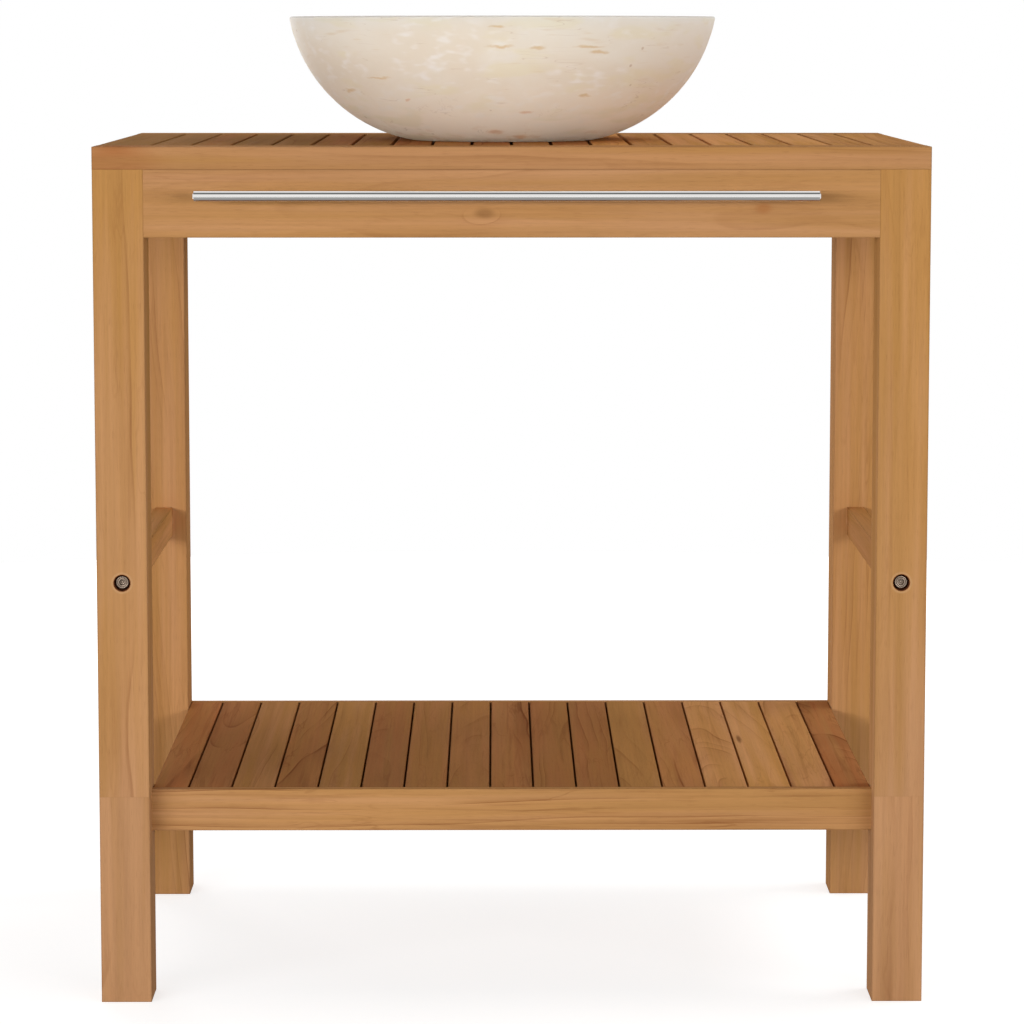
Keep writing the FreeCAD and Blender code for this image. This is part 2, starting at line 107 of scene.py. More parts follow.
# Finger joint: half pitch and slope of its teeth, glue line, and how the wood beyond it differs
tooth_half_pitch = 0.003
tooth_slope = 2.0
glue_line = (0.0012, 0.0002)
glue_share = 0.05
joint_seed = 4.7
joint_rose = 0.20
joint_tone = 0.05

# Knots: least half width, push on the rings in half widths and how fast that falls off, and soft edge
least_knot = 0.0001
knot_push = 2.2
knot_fall = -0.22
knot_edge = (1.3, 0.3)

# Worn edges and end grain: their depths, and how much the streaks make the wear uneven
wear_depth = (0.0010, -0.0002)
wear_streaks = -0.0010
end_depth = (0.0006, 0.0001)

# What the layers of the wood do to its rose and red, dark figure, tone, roughness and relief
rose_sway = (0.7, 1.3, -0.35, 0.35)
red_streaks = (0.2, 0.7, 0.4, 1.0)
stain_streaks = 1.6
stain_edge = (1.9, 0.9)
pore_share = 0.16
figure_shares = {"bands": 0.28, "rings": 0.95, "threads": 0.22, "veins": 0.26}
tone_shares = {
    "fibre": (0.22, 0.89),
    "streak": (0.40, 0.80),
    "wear": (-0.14, 1.0),
    "end grain": (-0.22, 1.0),
}
wood_rough = 0.80
rough_shares = {"fibre": 0.12, "pores": 0.06, "end grain": 0.06}
height_shares = {"pores": -0.6, "fibre": 0.5, "rings": -0.25}

# Bolt holes in the legs, by radius: paler wood from and to, dark rim, colours and share of the paler wood
hole_pale_start = (0.0076, 0.0084)
hole_pale_end = (0.0104, 0.0086)
hole_dark_end = (0.0081, 0.0074)
hole_pale = (0.64, 0.40, 0.21, 1.0)
hole_dark = (0.16, 0.050, 0.020, 1.0)
hole_pale_share = 0.35

# How a kind of board looks: strength of its lines, lightness, shares of red and of rose, ring spacing
look_names = ("Figure", "Tone", "Redness", "Rose", "Spacing")
board_looks = {
    "leg": (0.36, 1.00, 0.03, 0.50, 0.0085),
    "post": (0.50, 1.05, 0.06, 0.42, 0.0075),
    "apron": (0.36, 1.00, 0.05, 0.60, 0.0080),
    "rail": (0.40, 0.97, 0.16, 0.45, 0.0070),
    "lined": (0.95, 1.06, 0.03, 0.58, 0.0048),
    "plain": (0.45, 1.00, 0.28, 0.25, 0.0070),
    "olive": (0.45, 0.99, 0.16, 0.20, 0.0070),
    # Painted light in part: pale, light, straw and peach are lighter partly as paler wood and partly to
    # paint light falling on the right of the top and shelf; light on the left stretcher is painted light
    "pale": (0.60, 1.20, 0.16, 0.25, 0.0065),
    "light": (0.45, 1.34, 0.14, 0.20, 0.0065),
    "straw": (0.60, 1.32, 0.05, 0.25, 0.0065),
    "peach": (0.75, 1.31, 0.20, 0.50, 0.0060),
    "moss": (0.45, 0.95, 0.14, 0.00, 0.0070),
    # Painted shade: umber is darkened to paint the basin's shade on the left of the top
    "umber": (0.45, 0.74, 0.16, 0.00, 0.0070),
    "brown": (0.45, 0.94, 0.52, 0.24, 0.0070),
    "dark": (0.65, 0.90, 0.76, 0.25, 0.0065),
    "red": (0.90, 1.17, 0.92, 0.32, 0.0055),
    "russet": (0.80, 1.08, 0.60, 0.40, 0.0055),
    "flame": (1.25, 1.06, 1.10, 0.40, 0.0055),
    "streaked": (1.00, 0.99, 0.76, 0.35, 0.0075),
}

# A length that goes right through any board
through = 9.0
# Knots of a board: place along and across it, half length, half width and darkness
shelf_knots = {15: (0.012, 0.0170, 0.020, 0.0026, 0.75)}
apron_knot = (-0.024, 0.0085, 0.0100, 0.0050, 0.40)
no_knot = (0.0, 0.0, 1.0, 0.0, 0.0)
# Red stains of a board: place along and across it, half length, half width and strength
rail_stain = (-0.350, 0.0, 0.045, through, 0.75)
apron_stain = (0.2220, 0.004, 0.009, 0.007, 0.80)
no_stain = (0.0, 0.0, 1.0, 1.0, 0.0)
# Pith: place across and into the board. Lean: how the rings drift across and into it along the grain
usual_pith = (-0.045, -0.035)
usual_lean = (0.02, 0.01)
no_joint = -through

# What sets a front leg and the front apron apart. Drift is how the rose share changes along the board
front_leg = {"pith": (-0.03, -0.09), "lean": (0.012, 0.0), "joint": -0.19, "drift": -1.3}
front_apron = {"pith": (0.01, 0.06), "lean": (0.02, 0.03), "knot": apron_knot, "stain": apron_stain}
# Boards other than slats: name, axis of the grain and of the face, look, seed and what sets it apart
boards = (
    ("leg_front_left", "z", "y", "leg", 1.3, front_leg),
    ("leg_front_right", "z", "y", "leg", 2.9, front_leg),
    ("leg_back_left", "z", "y", "post", 4.1, {"lean": (0.09, 0.0)}),
    ("leg_back_right", "z", "y", "post", 5.7, {"lean": (-0.07, 0.0)}),
    ("apron_front", "x", "y", "apron", 6.2, front_apron),
    ("apron_back", "x", "y", "apron", 7.4, {}),
    ("apron_left", "y", "x", "apron", 8.8, {}),
    ("apron_right", "y", "x", "apron", 9.5, {}),
    # Painted light: the left stretcher's light look stands for light on its top and inner face
    ("stretcher_left", "y", "x", "light", 10.3, {}),
    ("stretcher_right", "y", "x", "plain", 11.9, {}),
    ("shelf_rail_front", "x", "y", "lined", 12.6, {"pith": (-0.03, -0.02), "lean": (0.015, 0.02)}),
    ("shelf_rail_back", "x", "y", "lined", 13.2, {}),
    ("top_rail_front", "x", "z", "rail", 14.8, {"pith": (-0.05, -0.03), "stain": rail_stain}),
    ("top_rail_back", "x", "z", "rail", 15.1, {}),
    # Painted shade in the left end board's umber look; the right one's pale look is partly paler wood and
    # partly painted light
    ("top_end_board_left", "y", "z", "umber", 16.4, {}),
    ("top_end_board_right", "y", "z", "pale", 17.7, {}),
)
# Shelf slats from the left: look, lean of the rings across and into the slat, and pith across it
# Partly painted light: the peach and straw slats on the right are partly paler wood and partly painted
# light where light falls on the right third of the shelf
shelf_looks = (
    ("red", 0.10, 0.02, -0.045),
    ("streaked", 0.02, -0.05, 0.004),
    ("plain", 0.03, 0.01, 0.050),
    ("streaked", 0.14, 0.03, -0.030),
    ("olive", 0.02, 0.01, -0.060),
    ("dark", 0.05, 0.09, 0.014),
    ("brown", -0.02, 0.01, -0.050),
    ("brown", 0.03, 0.10, -0.010),
    ("streaked", -0.03, 0.02, 0.035),
    ("dark", 0.02, 0.02, -0.040),
    ("dark", -0.02, 0.01, 0.055),
    ("moss", 0.02, 0.06, 0.020),
    ("russet", -0.03, 0.02, 0.030),
    ("peach", -0.05, 0.11, 0.006),
    ("straw", -0.10, 0.03, 0.022),
    ("peach", -0.06, 0.08, -0.012),
    ("flame", -0.09, 0.12, 0.010),
)
shelf_seed = 20.0
shelf_pith_depth = -0.03
# Top slats from the left, by their look. Their pith lies to either side, within a reach
# Painted shade and light: the umber slats on the left paint the basin's shade, and the pale and light
# slats on the right are partly paler wood and partly painted light
top_looks = (
    "umber dark umber umber dark umber dark plain streaked "
    "plain dark pale olive pale light pale light pale"
).split()
top_seed = 60.0
top_pith_reach = 0.05
top_pith_depth = -0.035

# Marble: colours, gloss, spread of red, green and blue light inside it, and relief
marble_cream = (0.73, 0.625, 0.52, 1.0)
marble_pale = (0.77, 0.68, 0.585, 1.0)
# Lighter pink low down: partly the stone's own pink, partly painted bounce light from the wooden top that
# lifts the shade under the bowl
marble_pink_lit = (0.98, 0.79, 0.65, 1.0)
# Warm inside at the bottom of the bowl: painted bounce light
marble_bowl_lit = (0.98, 0.75, 0.58, 1.0)
marble_yellow = (0.74, 0.635, 0.43, 1.0)
marble_white = (0.83, 0.76, 0.72, 1.0)
marble_ochre = (0.60, 0.40, 0.20, 1.0)
marble_rust = (0.66, 0.36, 0.20, 1.0)
marble_brown = (0.44, 0.27, 0.17, 1.0)
# Painted shade: a grey line along the rim's outer edge
marble_rim_shade = (0.50, 0.46, 0.41, 1.0)
marble_gloss = 0.05
marble_spread = (0.060, 0.055, 0.053)
marble_relief = (0.0004, 0.3)

# Noise and masks of the marble
marble_noise = {
    "cloud": ((9.0, 9.0, 18.0), 4.0, 0.5),
    "groups": ((11.0, 11.0, 20.0), 1.0),
    "seam": ((12.0, 12.0, 150.0), 2.0, 0.3),
    "crook": ((85.0, 85.0, 60.0), 3.0, 0.4),
    "ragged": ((90.0, 90.0, 160.0), 3.0),
}
marble_masks = {
    "haze": ((18.0, 18.0, 60.0), 2.0, 0.0, 0.52, 0.66),
    "flecks": ((66.0, 66.0, 165.0), 1.0, 0.0, 0.47, 0.80),
    "dashes": ((30.0, 30.0, 210.0), 1.0, 0.0, 0.60, 0.78),
    "hair patches": ((30.0, 30.0, 40.0), 1.0, 0.0, 0.56, 0.62),
    "crook patches": ((24.0, 24.0, 36.0), 1.0, 0.0, 0.62, 0.68),
    "rust": ((55.0, 55.0, 130.0), 3.0, 0.0, 0.57, 0.68),
}
cloud_edge = (0.35, 0.65)
fleck_groups = (0.62, 0.40)
dash_groups = (0.50, 0.64)
hair_line = (0.010, 0.001)
crook_line = (0.022, 0.004)
# Specks: points to the metre, edge in shares of their spacing, and the few that show
speck_scale = 95.0
speck_edge = (0.20, 0.08)
speck_chance = (0.93, 0.95)

# Heights on the basin, from -1 at its foot to 1 at its rim, and shares of its radius
low_heights = (0.1, -0.9)
fleck_heights = (-0.7, 0.1, 0.2, 0.75)
rust_heights = (-0.55, -0.95, 0.0, 0.4)
# Where the painted grey shade line at the rim lies
rim_shade_heights = (0.970, 0.985)
rim_shade_radius_shares = (0.988, 0.995)
# The inside of the bowl, where warm bounce light is painted, is told by how far its surface looks up
lit_bowl_slope = (0.2, 0.7)

# Shares of the marble's colours, and what its layers do to roughness and relief
# Share of the painted lighter pink low down
lit_pink_share = 0.9
haze_share = 0.40
dash_share = 0.5
ochre_share = 0.66
line_share = 0.26
rust_share = 0.6
speck_share = 0.5
# Share of the painted grey shade line at the rim
rim_shade_share = 0.8
cloud_rough = (0.12, 0.52)
line_rough = 0.1
speck_height = -0.8
cloud_height = 0.15

# Marks on the basin's front: place across and up from its middle, half length and half height
ochre_marks = (
    (-0.002, 0.030, 0.013, 0.0016),
    (0.031, 0.029, 0.008, 0.0019),
    (0.077, 0.030, 0.015, 0.0016),
    (0.087, 0.025, 0.010, 0.0019),
    (-0.005, 0.047, 0.010, 0.0016),
    (0.074, -0.014, 0.006, 0.0018),
    (-0.140, -0.010, 0.007, 0.0020),
    (-0.112, 0.002, 0.012, 0.0014),
)
rust_marks = (
    (-0.006, -0.047, 0.008, 0.0022),
    (0.016, -0.052, 0.009, 0.0025),
    (0.020, -0.029, 0.007, 0.0018),
    (-0.085, -0.018, 0.003, 0.0016),
)
# Their ragged reach, their soft edge, and the depth over which they come in at the basin's front half
mark_reach = (0.014, 0.0, 0.005)
mark_edge = (1.2, 0.2)
mark_front = (0.0, -0.02)

# Brushed steel of the towel bar: noise, colours, roughness and relief
steel_brush = ((9.0, 2600.0, 2600.0), 3.0)
steel_smear = ((14.0, 60.0, 60.0), 2.0)
steel_edge = (0.3, 0.7)
steel_dark = (0.73, 0.72, 0.70, 1.0)
steel_light = (0.85, 0.84, 0.82, 1.0)
steel_brush_rough = 0.05
steel_smear_rough = (0.03, 0.03)
steel_relief = (0.00002, 0.1)

# Plated steel of the fasteners: radians of its turned rings to the metre, stains, colours and relief
plate_turning = 4200.0
plate_edge = (-0.8, 0.8)
plate_dark = (0.12, 0.085, 0.060, 1.0)
plate_light = (0.30, 0.235, 0.185, 1.0)
plate_stains = ((260.0, 260.0, 260.0), 3.0)
plate_stain_edge = (0.5, 0.75, 0.0, 0.6)
plate_stained = (0.10, 0.07, 0.05, 1.0)
plate_rough = (0.2, 0.26)
plate_relief = (0.0001, 0.4)

# Chrome of the waste: wipe marks and fine noise, colours, roughness and relief
chrome_smear = ((40.0, 40.0, 90.0), 3.0)
chrome_fine = ((900.0, 900.0, 900.0), 1.0)
chrome_dark = (0.70, 0.71, 0.72, 1.0)
chrome_light = (0.80, 0.80, 0.81, 1.0)
chrome_smear_rough = 0.10
chrome_fine_rough = (0.03, 0.03)
chrome_relief = (0.00005, 0.1)

# Rubber of the gaskets: dust and grain, colours, roughness and relief
rubber_dust = ((160.0, 160.0, 160.0), 3.0)
rubber_grain = ((1500.0, 1500.0, 1500.0), 1.0)
rubber_edge = (0.4, 0.8)
rubber_black = (0.018, 0.018, 0.018, 1.0)
rubber_grey = (0.055, 0.053, 0.050, 1.0)
rubber_rough = (0.2, 0.6)
rubber_relief = (0.0001, 0.3)

# Axes of a board by the letter of the direction
axes = {"x": Vector((1, 0, 0)), "y": Vector((0, 1, 0)), "z": Vector((0, 0, 1))}
# The middle of noise, and of the three numbers of its colour
noise_middle = 0.5
colour_middle = (noise_middle, noise_middle, noise_middle)
# A colour blend among the sockets of its node: factor and two colours, and the result
mix_inputs = (0, 6, 7)
mix_output = 2


class Graph:
    """A node tree with short ways to add nodes to it."""

    def __init__(self, tree):
        self.tree = tree
        tree.nodes.clear()

    def put(self, socket, value):
        """Links a socket to an output, or sets its constant."""
        if isinstance(value, bpy.types.NodeSocket):
            self.tree.links.new(value, socket)
        else:
            socket.default_value = value

    def node(self, kind, *values, **settings):
        """A new shader node with some of its settings, and values for its first inputs."""
        node = self.tree.nodes.new("ShaderNode" + kind)
        for name, value in settings.items():
            setattr(node, name, value)
        for socket, value in zip(node.inputs, values):
            self.put(socket, value)
        return node

    def filled(self, kind, **values):
        """A new shader node with values for inputs by their names."""
        node = self.node(kind)
        for name, value in values.items():
            self.put(node.inputs[name.replace("_", " ")], value)
        return node

    def math(self, operation, *values):
        """The result of a sum with one, two or three numbers."""
        return self.node("Math", *values, operation=operation).outputs[0]

    def times(self, a, b):
        """Two numbers multiplied."""
        return self.math("MULTIPLY", a, b)

    def plus(self, value, share, rest):
        """A share of a value on top of the rest."""
        return self.math("MULTIPLY_ADD", value, share, rest)

    def layered(self, base, layers, shares):
        """A base with shares of several layers on top of it."""
        for name, share in shares.items():
            base = self.plus(layers[name], share, base)
        return base

    def vector(self, operation, *values):
        """The result of a sum with vectors."""
        node = self.node("VectorMath", *values, operation=operation)
        return node.outputs["Value" if operation == "LENGTH" else "Vector"]

    def reach(self, vector, shares):
        """The length of a vector after each of its numbers is multiplied."""
        return self.vector("LENGTH", self.vector("MULTIPLY", vector, shares))

    def scaled(self, vector, factor):
        """A vector or colour times a number."""
        node = self.node("VectorMath", operation="SCALE")
        self.put(node.inputs["Vector"], vector)
        self.put(node.inputs["Scale"], factor)
        return node.outputs["Vector"]

    def split(self, vector):
        """The three numbers of a vector."""
        return self.node("SeparateXYZ", vector).outputs

    def joined(self, x, y, z):
        """A vector of three numbers."""
        return self.node("CombineXYZ", x, y, z).outputs[0]

    def step(self, value, low, high, start=0.0, end=1.0):
        """A smooth step from start to end while the value goes from low to high."""
        numbers = (value, low, high, start, end)
        return self.node("MapRange", *numbers, interpolation_type="SMOOTHSTEP").outputs[0]

    def mix(self, factor, a, b):
        """A blend of two colours."""
        node = self.node("Mix", data_type="RGBA", clamp_factor=True)
        for index, value in zip(mix_inputs, (factor, a, b)):
            self.put(node.inputs[index], value)
        return node.outputs[mix_output]

    def noise(self, place, waves, detail, distortion=0.0, colour=False):
        """Soft noise with so many waves to the metre along each axis."""
        stretched = self.vector("MULTIPLY", place, waves)
        node = self.filled("TexNoise", Vector=stretched, Scale=1.0, Detail=detail, Distortion=distortion)
        return node.outputs["Color" if colour else "Fac"]

    def line_noise(self, value):
        """Soft noise along one number."""
        node = self.node("TexNoise", noise_dimensions="1D")
        for name, number in (("W", value), ("Scale", 1.0), ("Detail", 1.0)):
            self.put(node.inputs[name], number)
        return node.outputs["Fac"]

    def mask(self, place, waves, detail, distortion, start, full):
        """Where soft noise is strong."""
        return self.step(self.noise(place, waves, detail, distortion), start, full)

    def seams(self, noise, outer, inner):
        """Thin lines where noise crosses its middle."""
        return self.step(self.math("ABSOLUTE", self.math("SUBTRACT", noise, noise_middle)), outer, inner)

    def bent(self, place, spot, noise, reach):
        """A place moved to either side by noise at a spot, by up to half of a reach."""
        off = self.vector("SUBTRACT", self.noise(spot, *noise, colour=True), colour_middle)
        return self.vector("ADD", place, self.vector("MULTIPLY", off, reach))

    def specks(self, place, scale):
        """Distance to the nearest of scattered points, and a random colour for each of them."""
        node = self.filled("TexVoronoi", Vector=place, Scale=scale)
        return node.outputs["Distance"], node.outputs["Color"]

    def relief(self, height, depth, strength):
        """A surface normal with fine relief."""
        return self.filled("Bump", Height=height, Distance=depth, Strength=strength).outputs["Normal"]

    def own_place(self):
        """The place in the part's own frame."""
        return self.node("TexCoord").outputs["Object"]

    def surface(self, **values):
        """The shader and the output of a material."""
        self.node("OutputMaterial", self.filled("BsdfPrincipled", **values).outputs[0])


def new_material(name):
    """An empty material and the graph of its nodes."""
    material = bpy.data.materials.new(name)
    material.use_nodes = True
    return material, Graph(material.node_tree)


def paint(material, *names):
    """Gives nodes of the part a material."""
    for name in names:
        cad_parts[name].material_slots[0].material = material


def finger_joint(g, x, z, joint):
    """One beyond a finger joint, whose teeth show on the sides, and else zero; and its glue line."""
    teeth = g.times(g.math("PINGPONG", z, tooth_half_pitch), tooth_slope)
    beyond = g.math("SUBTRACT", joint, g.math("ADD", x, teeth))
    return g.math("GREATER_THAN", beyond, 0.0), g.step(g.math("ABSOLUTE", beyond), *glue_line)


def knot_shape(g, given):
    """Distance in half widths from a knot that goes through the board, and its push on the rings."""
    off = g.vector("SUBTRACT", given["Place"], given["Knot"])
    half_width = g.math("MAXIMUM", given["Knot Width"], least_knot)
    squash = g.joined(g.math("DIVIDE", half_width, given["Knot Length"]), 1.0, 0.0)
    way = g.math("DIVIDE", g.reach(off, squash), half_width)
    near = g.math("POWER", math.e, g.times(g.math("POWER", way, 2.0), knot_fall))
    return way, g.times(near, g.times(given["Knot Width"], knot_push))


def wood_rings(g, spot, given, push, seed):
    """Dark lines of the growth rings round a pith, which wander and fade along the grain."""
    place = given["Place"]
    bent = g.bent(place, spot, wood_noise["wander"], (0.0, ring_wander, ring_wander))
    leaning = g.scaled(given["Lean"], g.split(place)[0])
    off = g.vector("ADD", g.vector("SUBTRACT", bent, given["Pith"]), leaning)
    radius = g.reach(off, (0.0, 1.0, 1.0))
    count = g.math("DIVIDE", g.math("ADD", radius, push), given["Spacing"])
    uneven = g.line_noise(g.plus(count, ring_waver_pace, seed))
    count = g.plus(uneven, ring_waver, count)
    part = g.math("FRACT", count)
    line = g.math("MAXIMUM", g.step(part, *ring_line), g.step(part, *ring_shade))
    line = g.times(line, g.step(part, *ring_close))
    weight = g.line_noise(g.plus(g.math("FLOOR", count), ring_weight_pace, seed))
    fading = g.step(g.noise(spot, *wood_noise["fading"]), *ring_fading)
    return g.times(g.times(line, g.step(weight, *ring_weight)), fading)


def wood_veins(g, spot):
    """Thin wavy veins, in patches."""
    veins = g.seams(g.noise(spot, *wood_noise["vein"]), *vein_line)
    return g.times(veins, g.mask(spot, *wood_masks["vein patches"]))


def wood_edge(g, place, half):
    """Distance to the board's nearest edge and to its nearest end."""
    room = g.split(g.vector("SUBTRACT", half, g.vector("ABSOLUTE", place)))
    near = g.math("MINIMUM", room[0], room[1])
    far = g.math("MAXIMUM", room[0], room[1])
    return g.math("MAXIMUM", near, g.math("MINIMUM", far, room[2])), room[0]


def wood_redness(g, given, layers):
    """Share of red in the wood, with its ragged stain, in streaks."""
    way = g.vector("DIVIDE", g.vector("SUBTRACT", given["Place"], given["Stain"]), given["Stain Reach"])
    ragged = g.plus(layers["streak"], stain_streaks, g.vector("LENGTH", way))
    redness = g.plus(g.step(ragged, *stain_edge), given["Stain Share"], given["Redness"])
    return g.times(redness, g.step(layers["streak"], *red_streaks))


def wood_colour(g, given, layers):
    """The colour of the wood, before its tone."""
    rose = g.plus(layers["second"], joint_rose, given["Rose"])
    rose = g.plus(layers["along"], given["Drift"], rose)
    rose = g.math("ADD", rose, g.step(g.math("ADD", layers["cloud"], layers["streak"]), *rose_sway))
    colour = g.mix(rose, wood_gold, wood_rose)
    colour = g.mix(wood_redness(g, given, layers), colour, wood_red)
    figure = g.layered(0.0, layers, figure_shares)
    colour = g.mix(g.times(given["Figure"], figure), colour, wood_line)
    colour = g.mix(g.times(layers["pores"], pore_share), colour, wood_pore)
    knot_darkness = g.split(given["Knot"])[2]
    colour = g.mix(g.times(g.step(layers["knot way"], *knot_edge), knot_darkness), colour, wood_knot)
    return g.mix(g.times(layers["glue"], glue_share), colour, wood_line)


def wood_tone(g, given, layers):
    """How light the wood is, which is less on worn edges and end grain."""
    tone = g.plus(layers["second"], joint_tone, given["Tone"])
    for name, share_and_base in tone_shares.items():
        tone = g.times(tone, g.plus(layers[name], *share_and_base))
    return tone


def wood_layers(g, given):
    """The layers of the wood by name."""
    place = given["Place"]
    x, _, z = g.split(place)
    second, glue = finger_joint(g, x, z, given["Joint"])
    seed = g.plus(second, joint_seed, given["Seed"])
    spot = g.vector("ADD", place, g.vector("MULTIPLY", g.joined(seed, seed, seed), seed_steps))
    knot_way, push = knot_shape(g, given)
    layers = {"along": x, "second": second, "glue": glue, "knot way": knot_way}
    layers["rings"] = wood_rings(g, spot, given, push, seed)
    layers["veins"] = wood_veins(g, spot)
    for name in ("fibre", "streak", "cloud"):
        layers[name] = g.noise(spot, *wood_noise[name])
    for name in ("bands", "threads", "pores"):
        layers[name] = g.mask(spot, *wood_masks[name])
    edge, end = wood_edge(g, place, given["Half"])
    layers["wear"] = g.step(g.plus(layers["streak"], wear_streaks, edge), *wear_depth)
    layers["end grain"] = g.step(end, *end_depth)
    return layers


def teak_group():
    """The wood of a board as a solid, from its place in the board with the grain along X."""
    tree = bpy.data.node_groups.new("teak", "ShaderNodeTree")
    for name in ("Place", "Half", "Pith", "Lean", "Knot", "Stain", "Stain Reach"):
        tree.interface.new_socket(name, in_out="INPUT", socket_type="NodeSocketVector")
    for name in ("Seed", *look_names, "Drift", "Knot Length", "Knot Width", "Stain Share", "Joint"):
        tree.interface.new_socket(name, in_out="INPUT", socket_type="NodeSocketFloat")
    tree.interface.new_socket("Color", in_out="OUTPUT", socket_type="NodeSocketColor")
    for name in ("Roughness", "Height"):
        tree.interface.new_socket(name, in_out="OUTPUT", socket_type="NodeSocketFloat")
    g = Graph(tree)
    given = tree.nodes.new("NodeGroupInput").outputs
    result = tree.nodes.new("NodeGroupOutput").inputs
    layers = wood_layers(g, given)
    g.put(result["Color"], g.scaled(wood_colour(g, given, layers), wood_tone(g, given, layers)))
    g.put(result["Roughness"], g.layered(wood_rough, layers, rough_shares))
    g.put(result["Height"], g.layered(0.0, layers, height_shares))
    return tree


teak = teak_group()


def board(
    name, grain, face, look, seed,
    pith=usual_pith, lean=usual_lean, knot=no_knot, stain=no_stain, joint=no_joint, drift=0.0,
):
    """Paints a board with its grain along one axis and its main face along another."""
    low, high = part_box(name)
    turn = Matrix((axes[grain], axes[face].cross(axes[grain]), axes[face]))
    half = turn @ ((high - low) / 2)
    material, g = new_material("teak_" + name)
    mapping = g.node("Mapping", g.own_place(), -(turn @ ((low + high) / 2)), turn.to_euler())
    wood = g.node("Group", node_tree=teak)
    knot_along, knot_across, knot_length, knot_width, knot_darkness = knot
    stain_along, stain_across, stain_length, stain_width, stain_share = stain
    values = {
        "Place": mapping.outputs[0],
        "Half": [abs(size) for size in half],
        "Pith": (0.0, *pith),
        "Lean": (0.0, *lean),
        "Knot": (knot_along, knot_across, knot_darkness),
        "Knot Length": knot_length,
        "Knot Width": knot_width,
        "Stain": (stain_along, stain_across, 0.0),
        "Stain Reach": (stain_length, stain_width, through),
        "Stain Share": stain_share,
        "Seed": seed,
        "Joint": joint,
        "Drift": drift,
        **dict(zip(look_names, board_looks[look])),
    }
    for socket, value in values.items():
        g.put(wood.inputs[socket], value)
    colour = wood.outputs["Color"]
    if name.startswith("leg"):
        colour = bolt_ring(g, colour)
    g.surface(
        Base_Color=colour,
        Roughness=wood.outputs["Roughness"],
        Specular_IOR_Level=wood_gloss,
        Normal=g.relief(wood.outputs["Height"], *wood_relief),
    )
    paint(material, name)


def bolt_axis():
    """The X and Z of the bolts on the right."""
    low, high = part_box("frame_bolts")
    head_radius = (high.z - low.z) / 2
    return high.x - head_radius, (low.z + high.z) / 2


def bolt_radius(g):
    """Distance from the axis of the nearest bolt."""
    axis_x, axis_z = bolt_axis()
    off = g.vector("SUBTRACT", g.vector("ABSOLUTE", g.own_place()), (axis_x, 0.0, axis_z))
    return g.reach(off, (1.0, 0.0, 1.0))


def bolt_ring(g, colour):
    """The colour of a leg with a dark rim round the bolt's hole and paler wood outside it."""
    radius = bolt_radius(g)
    pale = g.times(g.step(radius, *hole_pale_end), g.step(radius, *hole_pale_start))
    colour = g.mix(g.times(pale, hole_pale_share), colour, hole_pale)
    return g.mix(g.step(radius, *hole_dark_end), colour, hole_dark)


def paint_wood():
    """Paints every board of the stand."""
    for name, grain, face, look, seed, apart in boards:
        board(name, grain, face, look, seed, **apart)
    for number, (look, lean, dip, side) in enumerate(shelf_looks, 1):
        board(
            f"shelf_slat_{number:02d}", "y", "z", look, shelf_seed + number,
            pith=(side, shelf_pith_depth), lean=(lean, dip), knot=shelf_knots.get(number, no_knot),
        )
    for number, look in enumerate(top_looks, 1):
        side = top_pith_reach * math.cos(number)
        board(f"top_slat_{number:02d}", "y", "z", look, top_seed + number, pith=(side, top_pith_depth))


def marble_marks(g, place, marks):
    """How far a place is inside one of the soft marks on the basin's front."""
    bent = g.bent(place, place, marble_noise["ragged"], mark_reach)
    inside = 0.0
    for across, up, length, height in marks:
        off = g.vector("SUBTRACT", bent, (across, 0.0, up))
        way = g.reach(off, (1.0 / length, 0.0, 1.0 / height))
        inside = g.math("MAXIMUM", inside, g.step(way, *mark_edge))
    return g.times(inside, g.step(g.split(place)[1], *mark_front))


def marble_ground(g, cloud, low_down):
    """Cream with pale clouds; lighter and pinker low down, partly the stone's own pink and partly painted
    bounce light, and painted warm bounce light at the bottom of the bowl.
    """
    colour = g.mix(g.step(cloud, *cloud_edge), marble_cream, marble_pale)
    # Painted bounce light: lighter, pinker marble low down
    colour = g.mix(g.times(low_down, lit_pink_share), colour, marble_pink_lit)
    upward = g.split(g.node("TexCoord").outputs["Normal"])[2]
    # Painted warm bounce light at the bottom of the bowl
    return g.mix(g.times(g.step(upward, *lit_bowl_slope), low_down), colour, marble_bowl_lit)


def marble_flecks(g, place, height, colour):
    """A colour with yellow haze, groups of white flecks, and ochre dashes between them."""
    groups = g.noise(place, *marble_noise["groups"])
    haze = g.mask(place, *marble_masks["haze"])
    colour = g.mix(g.times(haze, haze_share), colour, marble_yellow)
    flecks = g.times(g.mask(place, *marble_masks["flecks"]), g.step(groups, *fleck_groups))
    colour = g.mix(g.times(flecks, g.step(height, *fleck_heights)), colour, marble_white)
    dashes = g.times(g.mask(place, *marble_masks["dashes"]), g.step(groups, *dash_groups))
    dashes = g.math("MAXIMUM", g.times(dashes, dash_share), marble_marks(g, place, ochre_marks))
    return g.mix(g.times(dashes, ochre_share), colour, marble_ochre)


def marble_lines(g, place, low_down):
    """Level hairlines, and crooked lines low down, both in patches."""
    hair = g.seams(g.noise(place, *marble_noise["seam"]), *hair_line)
    hair = g.times(hair, g.mask(place, *marble_masks["hair patches"]))
    crook = g.seams(g.noise(place, *marble_noise["crook"]), *crook_line)
    crook = g.times(crook, g.mask(place, *marble_masks["crook patches"]))
    return hair, g.times(crook, low_down)


def marble_stains(g, place, height):
    """Rust near the foot of the basin and in some marks."""
    rust = g.times(g.mask(place, *marble_masks["rust"]), g.step(height, *rust_heights))
    return g.math("MAXIMUM", rust, marble_marks(g, place, rust_marks))


def marble_specks(g, place):
    """A few small specks."""
    way, chance = g.specks(place, speck_scale)
    return g.times(g.step(way, *speck_edge), g.step(g.split(chance)[0], *speck_chance))


